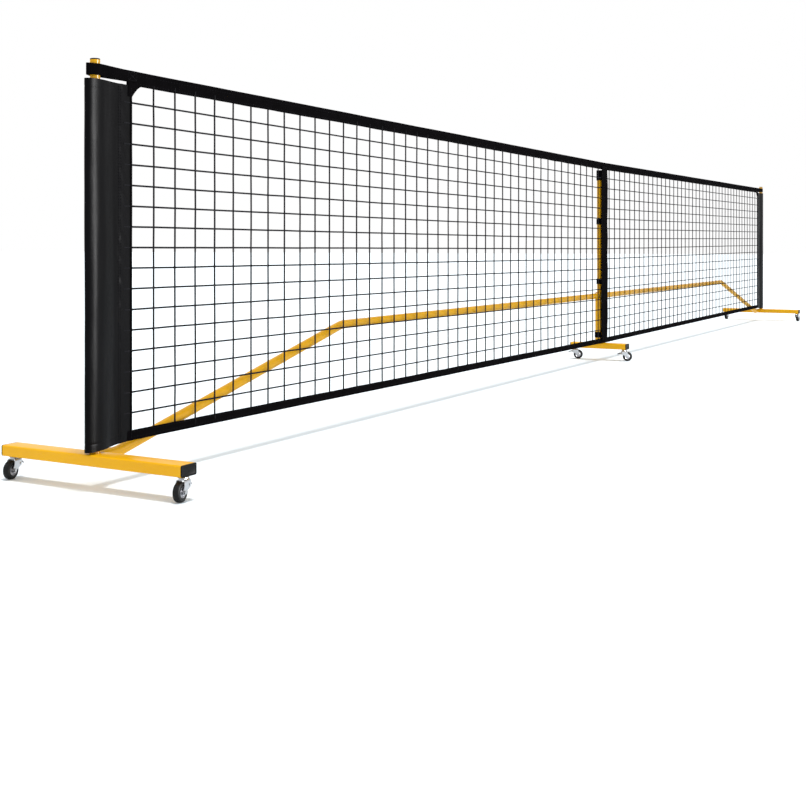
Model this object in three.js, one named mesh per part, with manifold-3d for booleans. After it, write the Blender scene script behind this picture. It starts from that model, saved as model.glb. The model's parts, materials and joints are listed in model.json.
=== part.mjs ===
// A portable pickleball net on a steel frame with six braked casters.
// Millimetres, +Z up. X runs along the net and +Y points behind it.
// The origin is on the floor under the middle of the net.

import * as THREE from "three";
import { mergeVertices } from "three/addons/utils/BufferGeometryUtils.js";
import Module from "manifold-3d";

const wasm = await Module();
wasm.setup();

// ---------------------------------------------------------------- driving dimensions

const GAP = 0.3; // between parts that touch
const SLIP = 0.4; // round a tube that slides inside another
const OVERLAP = 1; // how far joined solids run into each other

// The net: 22 feet between the post axes and 36 inches high at the posts.
const HALF_NET = 3353;
const TOP_AT_POST = 914;
const TOP_AT_MIDDLE = 898;
const HEM_AT_POST = 89;
const HEM_AT_MIDDLE = 78;
const TOP_BAND = 32;
const HEM_BAND = 22;
const BAND_HALF_THICKNESS = 2;
const MESH_HALF_THICKNESS = 1;
const MESH_SPLIT = 30; // each half of the mesh stops this far from the middle

// The fabric pocket that slips over each end post, and the tension strap above it.
const FABRIC = 1.2;
const POCKET_RADIUS = 11.6;
const POCKET_FOLD = 25;
const POCKET_SEAM = 72;
const POCKET_WIDTH = 117; // post axis to the edge of the mesh
const POCKET_TOP = 881;
const STRAP_WIDTH = 25;

// Round tubes.
const TUBE_SIDES = 16;
const PIN_SIDES = 8;
const STEM_SIDES = 12;
const WALL = 1.5;
const POST_RADIUS = 11;
const POST_TOP = 923;
const POST_CAP = 3;
const POST_PLUG = 15;
const CAP_CHAMFER = 1;
const WELD_RADIUS = 12.5; // the weld bead that the post stands on
const WELD_HEIGHT = 1.5;
const BAR_RADIUS = 12.7;
const SPIGOT_RADIUS = POST_RADIUS - WALL - SLIP;
const SPIGOT_LENGTH = 60;
const SWAGE_RADIUS = BAR_RADIUS - WALL - SLIP;
const SWAGE_LENGTH = 60;
const SWAGE_NECK = 6;

// Base feet: rectangular tube lying across the net.
const FOOT_WIDTH = 50;
const FOOT_HEIGHT = 25;
const FOOT_CORNER = 4;
const FOOT_UNDERSIDE = 52;
const END_FOOT_LENGTH = 504;
const CENTRE_FOOT_LENGTH = 256;
const FOOT_CAP = 3;
const FOOT_PLUG = 6; // short of the caster's stem
const PLUG_CORNER = 2;
const CASTER_FROM_END = 12;

// The frame tubes run behind the net.
const FRAME_Y = 20;
const BAR_HEIGHT = 292;
const LEG_HEIGHT = FOOT_UNDERSIDE + FOOT_HEIGHT / 2;
const LEG_START = HALF_NET - FOOT_WIDTH / 2;
const LEG_LOWER_BEND = 3262;
const LEG_UPPER_BEND = 2290;
const BEND_RADIUS = 110;
const BEND_STEPS = 3;
const OUTER_JOINT = 2120;
const INNER_JOINT = 1050;

// Centre post: a wide lower tube with a round tube standing on it.
const LOWER_POST_WIDTH = 50;
const LOWER_POST_DEPTH = 25;
const LOWER_POST_RISE = 4; // above the bars
const LOWER_POST_TOP = BAR_HEIGHT + BAR_RADIUS + LOWER_POST_RISE;
const UPPER_POST_TOP = 862;

// Spring buttons that lock each tube joint.
const BUTTON_RADIUS = 3.1;
const BUTTON_HOLE = BUTTON_RADIUS + GAP;
const BUTTON_BACK = 6.7; // measured from the tube's axis
const BUTTON_SHOULDER = 7.7;
const BUTTON_TIP = 14.7;
const BUTTON_DOME = 1.4;
const BUTTON_FLANGE = 1;
const BUTTON_OFFSET = 30; // from the mouth of the outer tube

// Casters, drawn with the stem on the Z axis and the wheel trailing towards +X.
const WHEEL_RADIUS = 21;
const WHEEL_SIDES = 20;
const WHEEL_WIDTH = 16;
const TREAD_CHAMFER = 3;
const AXLE_HEIGHT = WHEEL_RADIUS * Math.cos(Math.PI / WHEEL_SIDES);
const AXLE_RADIUS = 2.5;
const CASTER_TRAIL = 14;
const STEM_RADIUS = 4;
const STEM_LENGTH = 14; // above the foot's underside
const RACE_RADIUS = 10.5;
const FORK_INSIDE = 9.3;
const FORK_PLATE = 1.8;
const FORK_BACK = 4; // cheek beyond the pedal's pin
const AXLE_LUG = 5.5; // cheek round the axle
const YOKE_UNDERSIDE = 43.6;
const YOKE_TOP = 46;
const PEDAL_PIVOT_X = -8;
const PEDAL_PIVOT_Z = 33;
const PEDAL_PIN_RADIUS = 1.5;
const PEDAL_BARREL = 3;
const PEDAL_HALF_WIDTH = 8;
const END_HEADINGS = { left: 190, right: -10 }; // the end wheels trail away from the net
const CENTRE_HEADING = -65;

// Straps and ties on the centre post.
const CENTRE_STRAP_HALF_WIDTH = 35;
const CENTRE_STRAP_THICKNESS = 2.3;
const TIE_THICKNESS = 1.6;
const TIE_FRONT = -BAND_HALF_THICKNESS;
const TIE_CLEARANCE = 0.6;
const TIE_HEIGHT = 25;
const TOP_TIE_HEIGHT = 46;
const TIE_BOTTOMS = { top: 818, upper: 617, lower: 345, bottom: 103 };

// ---------------------------------------------------------------- materials

const finish = (color, roughness, metalness) =>
  new THREE.MeshStandardMaterial({ color, roughness, metalness });

const yellowPaint = finish(0xf0ad18, 0.35, 0.1);
const blackPlastic = finish(0x17171a, 0.5, 0);
const blackMesh = finish(0x202024, 0.85, 0);
const blackWebbing = finish(0x0f0f12, 0.8, 0);
const coatedFabric = finish(0x1b1a1e, 0.55, 0);
const chrome = finish(0xd4d6da, 0.12, 1);
const blackRubber = finish(0x1c1c1e, 0.7, 0);
const zincSteel = finish(0xa9acb0, 0.35, 1);

// ---------------------------------------------------------------- solids

const portableNet = new THREE.Group();

function addPart(name, geometry, material, parent = portableNet) {
  const mesh = new THREE.Mesh(geometry, material);
  mesh.name = name;
  parent.add(mesh);
  return mesh;
}

function toSolid(geometry) {
  const bare = geometry.clone();
  bare.deleteAttribute("normal");
  bare.deleteAttribute("uv");
  const merged = mergeVertices(bare, 1e-4);
  const mesh = new wasm.Mesh({
    numProp: 3,
    vertProperties: merged.attributes.position.array,
    triVerts: new Uint32Array(merged.index.array),
  });
  return new wasm.Manifold(mesh);
}

function toGeometry(solid) {
  const { vertProperties, triVerts } = solid.getMesh();
  const geometry = new THREE.BufferGeometry();
  geometry.setAttribute("position", new THREE.BufferAttribute(vertProperties, 3));
  geometry.setIndex(new THREE.BufferAttribute(triVerts, 1));
  geometry.computeVertexNormals();
  return geometry;
}

function combine(added, removed = []) {
  const whole = added.map(toSolid).reduce((sum, next) => sum.add(next));
  return toGeometry(removed.map(toSolid).reduce((rest, next) => rest.subtract(next), whole));
}

// A solid of revolution about Z. The profile is a closed loop of [radius, height] points,
// listed anticlockwise with the radius to the right and the height upwards.
function turned(profile, sides = TUBE_SIDES) {
  const points = profile.map(([radius, height]) => new THREE.Vector2(radius, height));
  if (profile[0][0] > 0) points.push(points[0].clone());
  return new THREE.LatheGeometry(points, sides).rotateX(Math.PI / 2);
}

function disc(radius, bottom, top, sides = TUBE_SIDES) {
  return turned([[0, bottom], [radius, bottom], [radius, top], [0, top]], sides);
}

function pipe(radius, bottom, top, wall = WALL) {
  const bore = radius - wall;
  return turned([[bore, bottom], [radius, bottom], [radius, top], [bore, top]]);
}

// Turns a solid drawn along Z so that it runs along X, towards +X or -X.
const alongX = (geometry, side) => geometry.rotateY((side * Math.PI) / 2);
const alongY = (geometry) => geometry.rotateX(-Math.PI / 2);

function block(width, depth, height, x, y, z) {
  return new THREE.BoxGeometry(width, depth, height).translate(x, y, z);
}

// A rounded rectangle centred on (0, y).
function roundedRectangle(width, height, corner, y = 0, path = new THREE.Shape()) {
  const right = width / 2 - corner;
  const up = height / 2 - corner;
  path.absarc(right, y - up, corner, -Math.PI / 2, 0);
  path.absarc(right, y + up, corner, 0, Math.PI / 2);
  path.absarc(-right, y + up, corner, Math.PI / 2, Math.PI);
  path.absarc(-right, y - up, corner, Math.PI, Math.PI * 1.5);
  path.closePath();
  return path;
}

function extruded(shape, depth, curveSegments = 2) {
  return new THREE.ExtrudeGeometry(shape, { depth, curveSegments, bevelEnabled: false });
}

// Rectangular tube standing on z = 0.
function boxTube(width, depth, height) {
  const section = roundedRectangle(width, depth, FOOT_CORNER);
  const inside = FOOT_CORNER - WALL;
  section.holes.push(
    roundedRectangle(width - 2 * WALL, depth - 2 * WALL, inside, 0, new THREE.Path()),
  );
  return extruded(section, height);
}

// ---------------------------------------------------------------- round frame tubes

// A polyline path whose stations are used as they are, so a long straight run is one step.
class StationPath extends THREE.Curve {
  constructor(stations) {
    super();
    this.stations = stations;
  }
  getPoint(t, target = new THREE.Vector3()) {
    const last = this.stations.length - 1;
    const at = Math.min(Math.floor(t * last), last - 1);
    return target.lerpVectors(this.stations[at], this.stations[at + 1], t * last - at);
  }
  getUtoTmapping(u) {
    return u;
  }
}

// Replaces each inner corner of a path by a round bend.
function bentStations(corners, radius) {
  const stations = [corners[0]];
  for (let i = 1; i < corners.length - 1; i++) {
    const before = corners[i - 1].clone().sub(corners[i]).normalize();
    const after = corners[i + 1].clone().sub(corners[i]).normalize();
    const trim = radius / Math.tan(before.angleTo(after) / 2);
    const bend = new THREE.QuadraticBezierCurve3(
      corners[i].clone().addScaledVector(before, trim),
      corners[i],
      corners[i].clone().addScaledVector(after, trim),
    );
    stations.push(...bend.getPoints(BEND_STEPS));
  }
  return [...stations, corners.at(-1)];
}

function bentTube(corners) {
  const stations = bentStations(corners, BEND_RADIUS);
  const section = new THREE.Shape().absarc(0, 0, BAR_RADIUS, 0, 2 * Math.PI);
  section.holes.push(new THREE.Path().absarc(0, 0, BAR_RADIUS - WALL, 0, 2 * Math.PI));
  return new THREE.ExtrudeGeometry(section, {
    steps: stations.length - 1,
    extrudePath: new StationPath(stations),
    curveSegments: TUBE_SIDES / 2,
  });
}

// A straight bar from a plain end at x = start to a narrow male end that reaches past x = end.
function barBetween(side, start, end) {
  const bore = BAR_RADIUS - WALL;
  const swageBore = SWAGE_RADIUS - WALL;
  const neck = end - SWAGE_NECK;
  const bar = turned([
    [bore, start],
    [BAR_RADIUS, start],
    [BAR_RADIUS, neck],
    [SWAGE_RADIUS, end],
    [SWAGE_RADIUS, end + SWAGE_LENGTH],
    [swageBore, end + SWAGE_LENGTH],
    [swageBore, end],
    [bore, neck - WALL],
  ]);
  return alongX(bar, side).translate(0, FRAME_Y, BAR_HEIGHT);
}

// The hole for a spring button in the top of a tube.
function buttonHole(x, z) {
  return disc(BUTTON_HOLE, 0, BAR_RADIUS + OVERLAP, PIN_SIDES).translate(x, FRAME_Y, z);
}

function springButton() {
  return turned(
    [
      [0, BUTTON_BACK],
      [BUTTON_RADIUS + BUTTON_FLANGE, BUTTON_BACK],
      [BUTTON_RADIUS + BUTTON_FLANGE, BUTTON_SHOULDER],
      [BUTTON_RADIUS, BUTTON_SHOULDER],
      [BUTTON_RADIUS, BUTTON_TIP - BUTTON_DOME],
      [0, BUTTON_TIP],
    ],
    PIN_SIDES,
  );
}

// ---------------------------------------------------------------- feet

// The round stub that a bar or leg slides over, pointing along X from x = root.
function sideStub(side, root) {
  const stub = pipe(SWAGE_RADIUS, root - WALL / 2, root + SWAGE_LENGTH);
  return alongX(stub, side);
}

function stemHoles(length) {
  const y = length / 2 - CASTER_FROM_END;
  const bottom = FOOT_UNDERSIDE - OVERLAP;
  const top = FOOT_UNDERSIDE + WALL + OVERLAP;
  return [-y, y].map((at) =>
    disc(STEM_RADIUS + GAP, bottom, top, STEM_SIDES).translate(0, at, 0),
  );
}

function footTube(length) {
  return boxTube(FOOT_WIDTH, FOOT_HEIGHT, length)
    .translate(0, 0, -length / 2)
    .rotateX(Math.PI / 2)
    .translate(0, 0, LEG_HEIGHT);
}

// An end foot, drawn with its post on the Z axis: side is +1 where the leg leaves towards +X.
function endFoot(side) {
  const top = FOOT_UNDERSIDE + FOOT_HEIGHT;
  const spigot = pipe(SPIGOT_RADIUS, top - WALL / 2, top + SPIGOT_LENGTH);
  const weld = disc(WELD_RADIUS, top - WALL / 2, top + WELD_HEIGHT);
  const stub = sideStub(side, FOOT_WIDTH / 2).translate(0, FRAME_Y, LEG_HEIGHT);
  const hole = buttonHole(side * (FOOT_WIDTH / 2 + GAP + BUTTON_OFFSET), LEG_HEIGHT);
  const solids = [footTube(END_FOOT_LENGTH), weld, spigot, stub];
  return combine(solids, [hole, ...stemHoles(END_FOOT_LENGTH)]);
}

// The centre foot, drawn with its post on the Z axis.
function centreFoot() {
  const top = FOOT_UNDERSIDE + FOOT_HEIGHT;
  const clearance = 2 * (WALL + GAP);
  const spigot = extruded(
    roundedRectangle(LOWER_POST_WIDTH - clearance, LOWER_POST_DEPTH - clearance, PLUG_CORNER),
    SPIGOT_LENGTH / 2,
  ).translate(0, 0, top - WALL / 2);
  return combine([footTube(CENTRE_FOOT_LENGTH), spigot], stemHoles(CENTRE_FOOT_LENGTH));
}

// Plug and face of a foot's end cap, for the end at +Y when end is +1.
function footCap(length, end) {
  const clearance = 2 * (WALL + GAP);
  const plug = roundedRectangle(FOOT_WIDTH - clearance, FOOT_HEIGHT - clearance, PLUG_CORNER);
  const face = roundedRectangle(FOOT_WIDTH, FOOT_HEIGHT, FOOT_CORNER);
  const cap = combine([
    extruded(plug, FOOT_PLUG + GAP + OVERLAP).translate(0, 0, -FOOT_PLUG),
    extruded(face, FOOT_CAP).translate(0, 0, GAP),
  ]);
  return cap.rotateX((-end * Math.PI) / 2).translate(0, (end * length) / 2, LEG_HEIGHT);
}

function addFoot(name, x, y, length, geometry) {
  addPart(`${name}_foot`, geometry, yellowPaint).position.set(x, y, 0);
  for (const [where, end] of [["front", -1], ["rear", 1]]) {
    const cap = addPart(`${name}_foot_${where}_cap`, footCap(length, end), blackPlastic);
    cap.position.set(x, y, 0);
  }
}

// ---------------------------------------------------------------- posts

function postCap() {
  return turned([
    [0, -POST_PLUG],
    [SPIGOT_RADIUS, -POST_PLUG],
    [SPIGOT_RADIUS, GAP],
    [POST_RADIUS, GAP],
    [POST_RADIUS - CAP_CHAMFER, POST_CAP],
    [0, POST_CAP],
  ]);
}

function addEndPost(name, x) {
  const foot = FOOT_UNDERSIDE + FOOT_HEIGHT + WELD_HEIGHT + GAP;
  addPart(`${name}_post`, pipe(POST_RADIUS, foot, POST_TOP), yellowPaint).position.x = x;
  addPart(`${name}_post_cap`, postCap(), blackPlastic).position.set(x, 0, POST_TOP);
}

// The wide lower tube, closed on top by a plate with the upper post's spigot on it.
function lowerPost() {
  const bottom = FOOT_UNDERSIDE + FOOT_HEIGHT + GAP;
  const tube = boxTube(LOWER_POST_WIDTH, LOWER_POST_DEPTH, LOWER_POST_TOP - bottom);
  const lid = extruded(
    roundedRectangle(LOWER_POST_WIDTH, LOWER_POST_DEPTH, FOOT_CORNER),
    WALL,
  ).translate(0, 0, LOWER_POST_TOP - bottom - WALL);
  const spigotFloor = LOWER_POST_TOP - WALL / 2;
  const spigot = pipe(SPIGOT_RADIUS, spigotFloor, LOWER_POST_TOP + SPIGOT_LENGTH);
  const sides = [-1, 1];
  const root = LOWER_POST_WIDTH / 2;
  const stubs = sides.map((side) => sideStub(side, root).translate(0, FRAME_Y, BAR_HEIGHT));
  const holes = sides.map((side) => buttonHole(side * (root + GAP + BUTTON_OFFSET), BAR_HEIGHT));
  const upright = [tube.translate(0, FRAME_Y, bottom), lid.translate(0, FRAME_Y, bottom)];
  return combine([...upright, spigot.translate(0, FRAME_Y, 0), ...stubs], holes);
}

// ---------------------------------------------------------------- legs and bars

const legMouth = LEG_START - GAP;
const barMouth = LOWER_POST_WIDTH / 2 + GAP;

function leg(side) {
  const corner = (x, z) => new THREE.Vector3(side * x, FRAME_Y, z);
  const tube = bentTube([
    corner(legMouth, LEG_HEIGHT),
    corner(LEG_LOWER_BEND, LEG_HEIGHT),
    corner(LEG_UPPER_BEND, BAR_HEIGHT),
    corner(OUTER_JOINT + GAP, BAR_HEIGHT),
  ]);
  return combine(
    [tube],
    [
      buttonHole(side * (legMouth - BUTTON_OFFSET), LEG_HEIGHT),
      buttonHole(side * (OUTER_JOINT + BUTTON_OFFSET), BAR_HEIGHT),
    ],
  );
}

// A bar with a button hole near each end.
function drilledBar(side, start, end) {
  return combine(
    [barBetween(side, start, end)],
    [
      buttonHole(side * (start + BUTTON_OFFSET), BAR_HEIGHT),
      buttonHole(side * (end + BUTTON_OFFSET), BAR_HEIGHT),
    ],
  );
}

function addSideFrame(name, side) {
  addPart(`${name}_leg`, leg(side), yellowPaint);
  addPart(`${name}_outer_bar`, drilledBar(side, INNER_JOINT + GAP, OUTER_JOINT), yellowPaint);
  addPart(`${name}_inner_bar`, drilledBar(side, barMouth, INNER_JOINT), yellowPaint);
  const buttons = [
    ["foot", legMouth - BUTTON_OFFSET, LEG_HEIGHT],
    ["leg", OUTER_JOINT + BUTTON_OFFSET, BAR_HEIGHT],
    ["bar", INNER_JOINT + BUTTON_OFFSET, BAR_HEIGHT],
    ["centre", barMouth + BUTTON_OFFSET, BAR_HEIGHT],
  ];
  for (const [where, x, z] of buttons) {
    const button = addPart(`${name}_${where}_button`, springButton(), zincSteel);
    button.position.set(side * x, FRAME_Y, z);
  }
}

// ---------------------------------------------------------------- net and straps

// Outline of the flat loop of cloth round a post, seen from above, with the mesh towards +X.
// Straight runs of cloth leave the post as tangents, to the fold on the left and the seam.
function pocketOutline() {
  const atFold = Math.acos(POCKET_RADIUS / POCKET_FOLD);
  const atSeam = Math.acos(POCKET_RADIUS / POCKET_SEAM);
  const outside = POCKET_RADIUS + FABRIC;
  const seamX = POCKET_SEAM + FABRIC * Math.cos(atSeam);
  const shape = new THREE.Shape();
  shape.moveTo(POCKET_WIDTH - GAP, -FABRIC);
  shape.lineTo(POCKET_WIDTH - GAP, FABRIC);
  shape.lineTo(seamX, FABRIC);
  shape.absarc(0, 0, outside, atSeam, Math.PI - atFold);
  shape.lineTo(-POCKET_FOLD - FABRIC, FABRIC / 2);
  shape.lineTo(-POCKET_FOLD - FABRIC, -FABRIC / 2);
  shape.absarc(0, 0, outside, Math.PI + atFold, 2 * Math.PI - atSeam);
  shape.lineTo(seamX, -FABRIC);
  shape.closePath();
  const pocket = new THREE.Path();
  pocket.absarc(0, 0, POCKET_RADIUS, atSeam, Math.PI - atFold);
  pocket.lineTo(-POCKET_FOLD, 0);
  pocket.absarc(0, 0, POCKET_RADIUS, Math.PI + atFold, 2 * Math.PI - atSeam);
  pocket.lineTo(POCKET_SEAM, 0);
  pocket.closePath();
  shape.holes.push(pocket);
  return shape;
}

function addPocket(name, side, bottom, top, material) {
  const cloth = extruded(pocketOutline(), top - bottom, 4);
  const part = addPart(name, cloth, material);
  part.rotation.z = side < 0 ? 0 : Math.PI;
  part.position.set(side * HALF_NET, 0, bottom);
}

// The height of the net's top or foot at a distance from the middle.
const slope = (atMiddle, atPost) => (x) => atMiddle + ((atPost - atMiddle) * Math.abs(x)) / HALF_NET;
const netTop = slope(TOP_AT_MIDDLE, TOP_AT_POST);
const netHem = slope(HEM_AT_MIDDLE, HEM_AT_POST);

// A flat panel that stands in the net's plane between two heights, which follow X.
function netPanel(stations, bottomAt, topAt, halfThickness) {
  const shape = new THREE.Shape([
    ...stations.map((x) => new THREE.Vector2(x, bottomAt(x))),
    ...stations.toReversed().map((x) => new THREE.Vector2(x, topAt(x))),
  ]);
  return extruded(shape, 2 * halfThickness)
    .translate(0, 0, -halfThickness)
    .rotateX(Math.PI / 2);
}

function addNet() {
  const edge = HALF_NET - POCKET_WIDTH;
  const across = [-edge, 0, edge];
  const bandUnderside = (x) => netTop(x) - TOP_BAND;
  const hemTopside = (x) => netHem(x) + HEM_BAND;
  const topBand = netPanel(across, bandUnderside, netTop, BAND_HALF_THICKNESS);
  const hemBand = netPanel(across, netHem, hemTopside, BAND_HALF_THICKNESS);
  addPart("net_top_band", topBand, blackWebbing);
  addPart("net_bottom_band", hemBand, blackWebbing);
  const meshFloor = (x) => hemTopside(x) + GAP;
  const meshRoof = (x) => bandUnderside(x) - GAP;
  for (const [name, ends] of [["left", [-edge, -MESH_SPLIT]], ["right", [MESH_SPLIT, edge]]]) {
    const half = netPanel(ends, meshFloor, meshRoof, MESH_HALF_THICKNESS);
    addPart(`net_mesh_${name}`, half, blackMesh);
  }
}

function addSleeveAndStrap(name, side) {
  addPocket(`${name}_sleeve`, side, HEM_AT_POST, POCKET_TOP, coatedFabric);
  addPocket(`${name}_tension_strap`, side, TOP_AT_POST - STRAP_WIDTH, TOP_AT_POST, blackWebbing);
}

function centreStrap() {
  const bottom = HEM_AT_MIDDLE + HEM_BAND / 2;
  const top = TOP_AT_MIDDLE - TOP_BAND / 2;
  const y = -BAND_HALF_THICKNESS - GAP - CENTRE_STRAP_THICKNESS / 2;
  return block(
    2 * CENTRE_STRAP_HALF_WIDTH,
    CENTRE_STRAP_THICKNESS,
    top - bottom,
    0,
    y,
    (top + bottom) / 2,
  );
}

// A closed band round the centre post, flat against the back of the centre strap.
// halfWidth and back are the outer limits of the band; corner rounds its rear corners.
function tie(halfWidth, back, corner, height) {
  const outline = (inset, path) => {
    const right = halfWidth - inset;
    const radius = corner - inset;
    path.moveTo(-right, TIE_FRONT + inset);
    path.lineTo(right, TIE_FRONT + inset);
    path.absarc(right - radius, back - corner, radius, 0, Math.PI / 2);
    path.absarc(radius - right, back - corner, radius, Math.PI / 2, Math.PI);
    path.closePath();
    return path;
  };
  const shape = outline(0, new THREE.Shape());
  shape.holes.push(outline(TIE_THICKNESS, new THREE.Path()));
  return extruded(shape, height, 3);
}

function addTies() {
  const around = TIE_CLEARANCE + TIE_THICKNESS;
  const round = POST_RADIUS + around;
  const wide = LOWER_POST_WIDTH / 2 + around;
  const deep = FRAME_Y + LOWER_POST_DEPTH / 2 + around;
  const ties = {
    top: tie(round, FRAME_Y + round, round, TOP_TIE_HEIGHT),
    upper: tie(round, FRAME_Y + round, round, TIE_HEIGHT),
    lower: tie(round, FRAME_Y + round, round, TIE_HEIGHT),
    bottom: tie(wide, deep, FOOT_CORNER + TIE_THICKNESS, TIE_HEIGHT),
  };
  for (const [name, geometry] of Object.entries(ties)) {
    addPart(`centre_${name}_tie`, geometry, blackWebbing).position.z = TIE_BOTTOMS[name];
  }
}

// ---------------------------------------------------------------- casters

// One cheek of the fork, drawn in its own plane with the trail towards +X.
function forkCheek() {
  const shape = new THREE.Shape();
  const lugShoulder = AXLE_HEIGHT + 12;
  shape.moveTo(PEDAL_PIVOT_X - FORK_BACK, YOKE_TOP);
  shape.lineTo(PEDAL_PIVOT_X - FORK_BACK, PEDAL_PIVOT_Z - FORK_BACK / 2);
  shape.lineTo(PEDAL_PIVOT_X, PEDAL_PIVOT_Z - FORK_BACK);
  shape.lineTo(CASTER_TRAIL - AXLE_LUG, AXLE_HEIGHT - 1);
  shape.absarc(CASTER_TRAIL, AXLE_HEIGHT, AXLE_LUG, Math.PI * 1.1, Math.PI * 2);
  shape.lineTo(CASTER_TRAIL + AXLE_LUG, lugShoulder);
  shape.lineTo(CASTER_TRAIL, YOKE_TOP);
  shape.closePath();
  return extruded(shape, FORK_PLATE, 3).rotateX(Math.PI / 2);
}

// A pin across the fork along Y.
function crossPin(radius, halfLength, x, z) {
  return alongY(disc(radius, -halfLength, halfLength, PIN_SIDES)).translate(x, 0, z);
}

function fork() {
  const outside = FORK_INSIDE + FORK_PLATE;
  const yokeLength = CASTER_TRAIL - PEDAL_PIVOT_X + FORK_BACK;
  const yokeMiddle = (CASTER_TRAIL + PEDAL_PIVOT_X - FORK_BACK) / 2;
  const yokeHeight = YOKE_TOP - YOKE_UNDERSIDE;
  const yoke = block(
    yokeLength,
    2 * outside,
    yokeHeight,
    yokeMiddle,
    0,
    YOKE_UNDERSIDE + yokeHeight / 2,
  );
  return combine([
    yoke,
    forkCheek().translate(0, outside, 0),
    forkCheek().translate(0, -FORK_INSIDE, 0),
    crossPin(AXLE_RADIUS, outside + 2, CASTER_TRAIL, AXLE_HEIGHT),
    crossPin(PEDAL_PIN_RADIUS, outside + 1, PEDAL_PIVOT_X, PEDAL_PIVOT_Z),
    disc(RACE_RADIUS, YOKE_TOP - OVERLAP, FOOT_UNDERSIDE - GAP, STEM_SIDES),
    disc(STEM_RADIUS, FOOT_UNDERSIDE - OVERLAP, FOOT_UNDERSIDE + STEM_LENGTH, STEM_SIDES),
  ]);
}

function wheel() {
  const half = WHEEL_WIDTH / 2;
  const bore = AXLE_RADIUS + GAP;
  const profile = [
    [bore, -half],
    [WHEEL_RADIUS - TREAD_CHAMFER, -half],
    [WHEEL_RADIUS, TREAD_CHAMFER - half],
    [WHEEL_RADIUS, half - TREAD_CHAMFER],
    [WHEEL_RADIUS - TREAD_CHAMFER, half],
    [bore, half],
  ];
  // Half a facet of turn puts a flat of the tread on the floor.
  return alongY(turned(profile, WHEEL_SIDES).rotateZ(Math.PI / WHEEL_SIDES));
}

// The brake lever about its pin: a barrel, a tread plate outwards and a short toe to the tyre.
function brakePedal() {
  const plate = new THREE.Shape([
    new THREE.Vector2(0, -1),
    new THREE.Vector2(2.6, -1.2),
    new THREE.Vector2(2.6, 1),
    new THREE.Vector2(0, 3),
    new THREE.Vector2(-8, 4.2),
    new THREE.Vector2(-21, 1.6),
    new THREE.Vector2(-22, -1.2),
    new THREE.Vector2(-20, -1.6),
    new THREE.Vector2(-19, -0.4),
    new THREE.Vector2(-8, 1.8),
  ]);
  const body = extruded(plate, 2 * PEDAL_HALF_WIDTH)
    .translate(0, 0, -PEDAL_HALF_WIDTH)
    .rotateX(Math.PI / 2);
  return combine(
    [body, crossPin(PEDAL_BARREL, PEDAL_HALF_WIDTH, 0, 0)],
    [crossPin(PEDAL_PIN_RADIUS + GAP, PEDAL_HALF_WIDTH + OVERLAP, 0, 0)],
  );
}

// heading is the direction in which the wheel trails, in degrees from +X towards +Y.
function addCaster(name, x, y, heading) {
  const caster = new THREE.Group();
  caster.position.set(x, y, 0);
  caster.rotation.z = THREE.MathUtils.degToRad(heading);
  portableNet.add(caster);
  addPart(`${name}_caster_fork`, fork(), chrome, caster);
  addPart(`${name}_caster_wheel`, wheel(), blackRubber, caster).position.set(
    CASTER_TRAIL,
    0,
    AXLE_HEIGHT,
  );
  addPart(`${name}_caster_brake`, brakePedal(), zincSteel, caster).position.set(
    PEDAL_PIVOT_X,
    0,
    PEDAL_PIVOT_Z,
  );
}

function addCasterPair(name, x, y, length, heading) {
  const reach = length / 2 - CASTER_FROM_END;
  addCaster(`${name}_front`, x, y - reach, heading);
  addCaster(`${name}_rear`, x, y + reach, heading);
}

// ---------------------------------------------------------------- assembly

for (const [name, side] of [["left", -1], ["right", 1]]) {
  const x = side * HALF_NET;
  addFoot(name, x, 0, END_FOOT_LENGTH, endFoot(-side));
  addCasterPair(name, x, 0, END_FOOT_LENGTH, END_HEADINGS[name]);
  addEndPost(name, x);
  addSideFrame(name, side);
  addSleeveAndStrap(name, side);
}

addFoot("centre", 0, FRAME_Y, CENTRE_FOOT_LENGTH, centreFoot());
addCasterPair("centre", 0, FRAME_Y, CENTRE_FOOT_LENGTH, CENTRE_HEADING);
addPart("centre_lower_post", lowerPost(), yellowPaint);
const upperPost = pipe(POST_RADIUS, LOWER_POST_TOP + GAP, UPPER_POST_TOP);
addPart("centre_upper_post", upperPost, yellowPaint).position.y = FRAME_Y;
addNet();
addPart("centre_strap", centreStrap(), blackWebbing);
addTies();

export default portableNet;
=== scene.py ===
import json
import math

import bmesh
import bpy
from mathutils import Matrix, Vector, noise


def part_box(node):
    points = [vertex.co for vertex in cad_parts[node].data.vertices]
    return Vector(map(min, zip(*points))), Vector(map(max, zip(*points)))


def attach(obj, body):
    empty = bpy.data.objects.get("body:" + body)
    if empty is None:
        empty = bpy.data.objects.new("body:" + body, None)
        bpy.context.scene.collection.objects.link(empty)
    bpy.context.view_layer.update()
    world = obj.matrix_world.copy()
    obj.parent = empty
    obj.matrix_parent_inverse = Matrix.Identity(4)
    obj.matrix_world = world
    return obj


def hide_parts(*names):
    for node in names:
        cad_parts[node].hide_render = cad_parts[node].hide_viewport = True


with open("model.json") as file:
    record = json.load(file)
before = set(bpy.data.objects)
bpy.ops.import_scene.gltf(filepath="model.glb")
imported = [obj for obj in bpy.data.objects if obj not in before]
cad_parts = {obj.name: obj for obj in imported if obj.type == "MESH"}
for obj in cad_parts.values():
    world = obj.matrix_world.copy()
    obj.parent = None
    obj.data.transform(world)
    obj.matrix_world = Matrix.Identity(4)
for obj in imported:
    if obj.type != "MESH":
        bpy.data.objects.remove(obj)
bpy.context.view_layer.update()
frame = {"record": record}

# Lengths are in millimetres and become metres when a piece is made.
MM = 0.001
Y_AXIS = Vector((0, 1, 0))
Z_AXIS = Vector((0, 0, 1))


def low(node):
    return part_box(node)[0] / MM


def high(node):
    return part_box(node)[1] / MM


def middle(node):
    return (low(node) + high(node)) / 2


# ---------------------------------------------------------------- sizes from the frame

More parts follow.
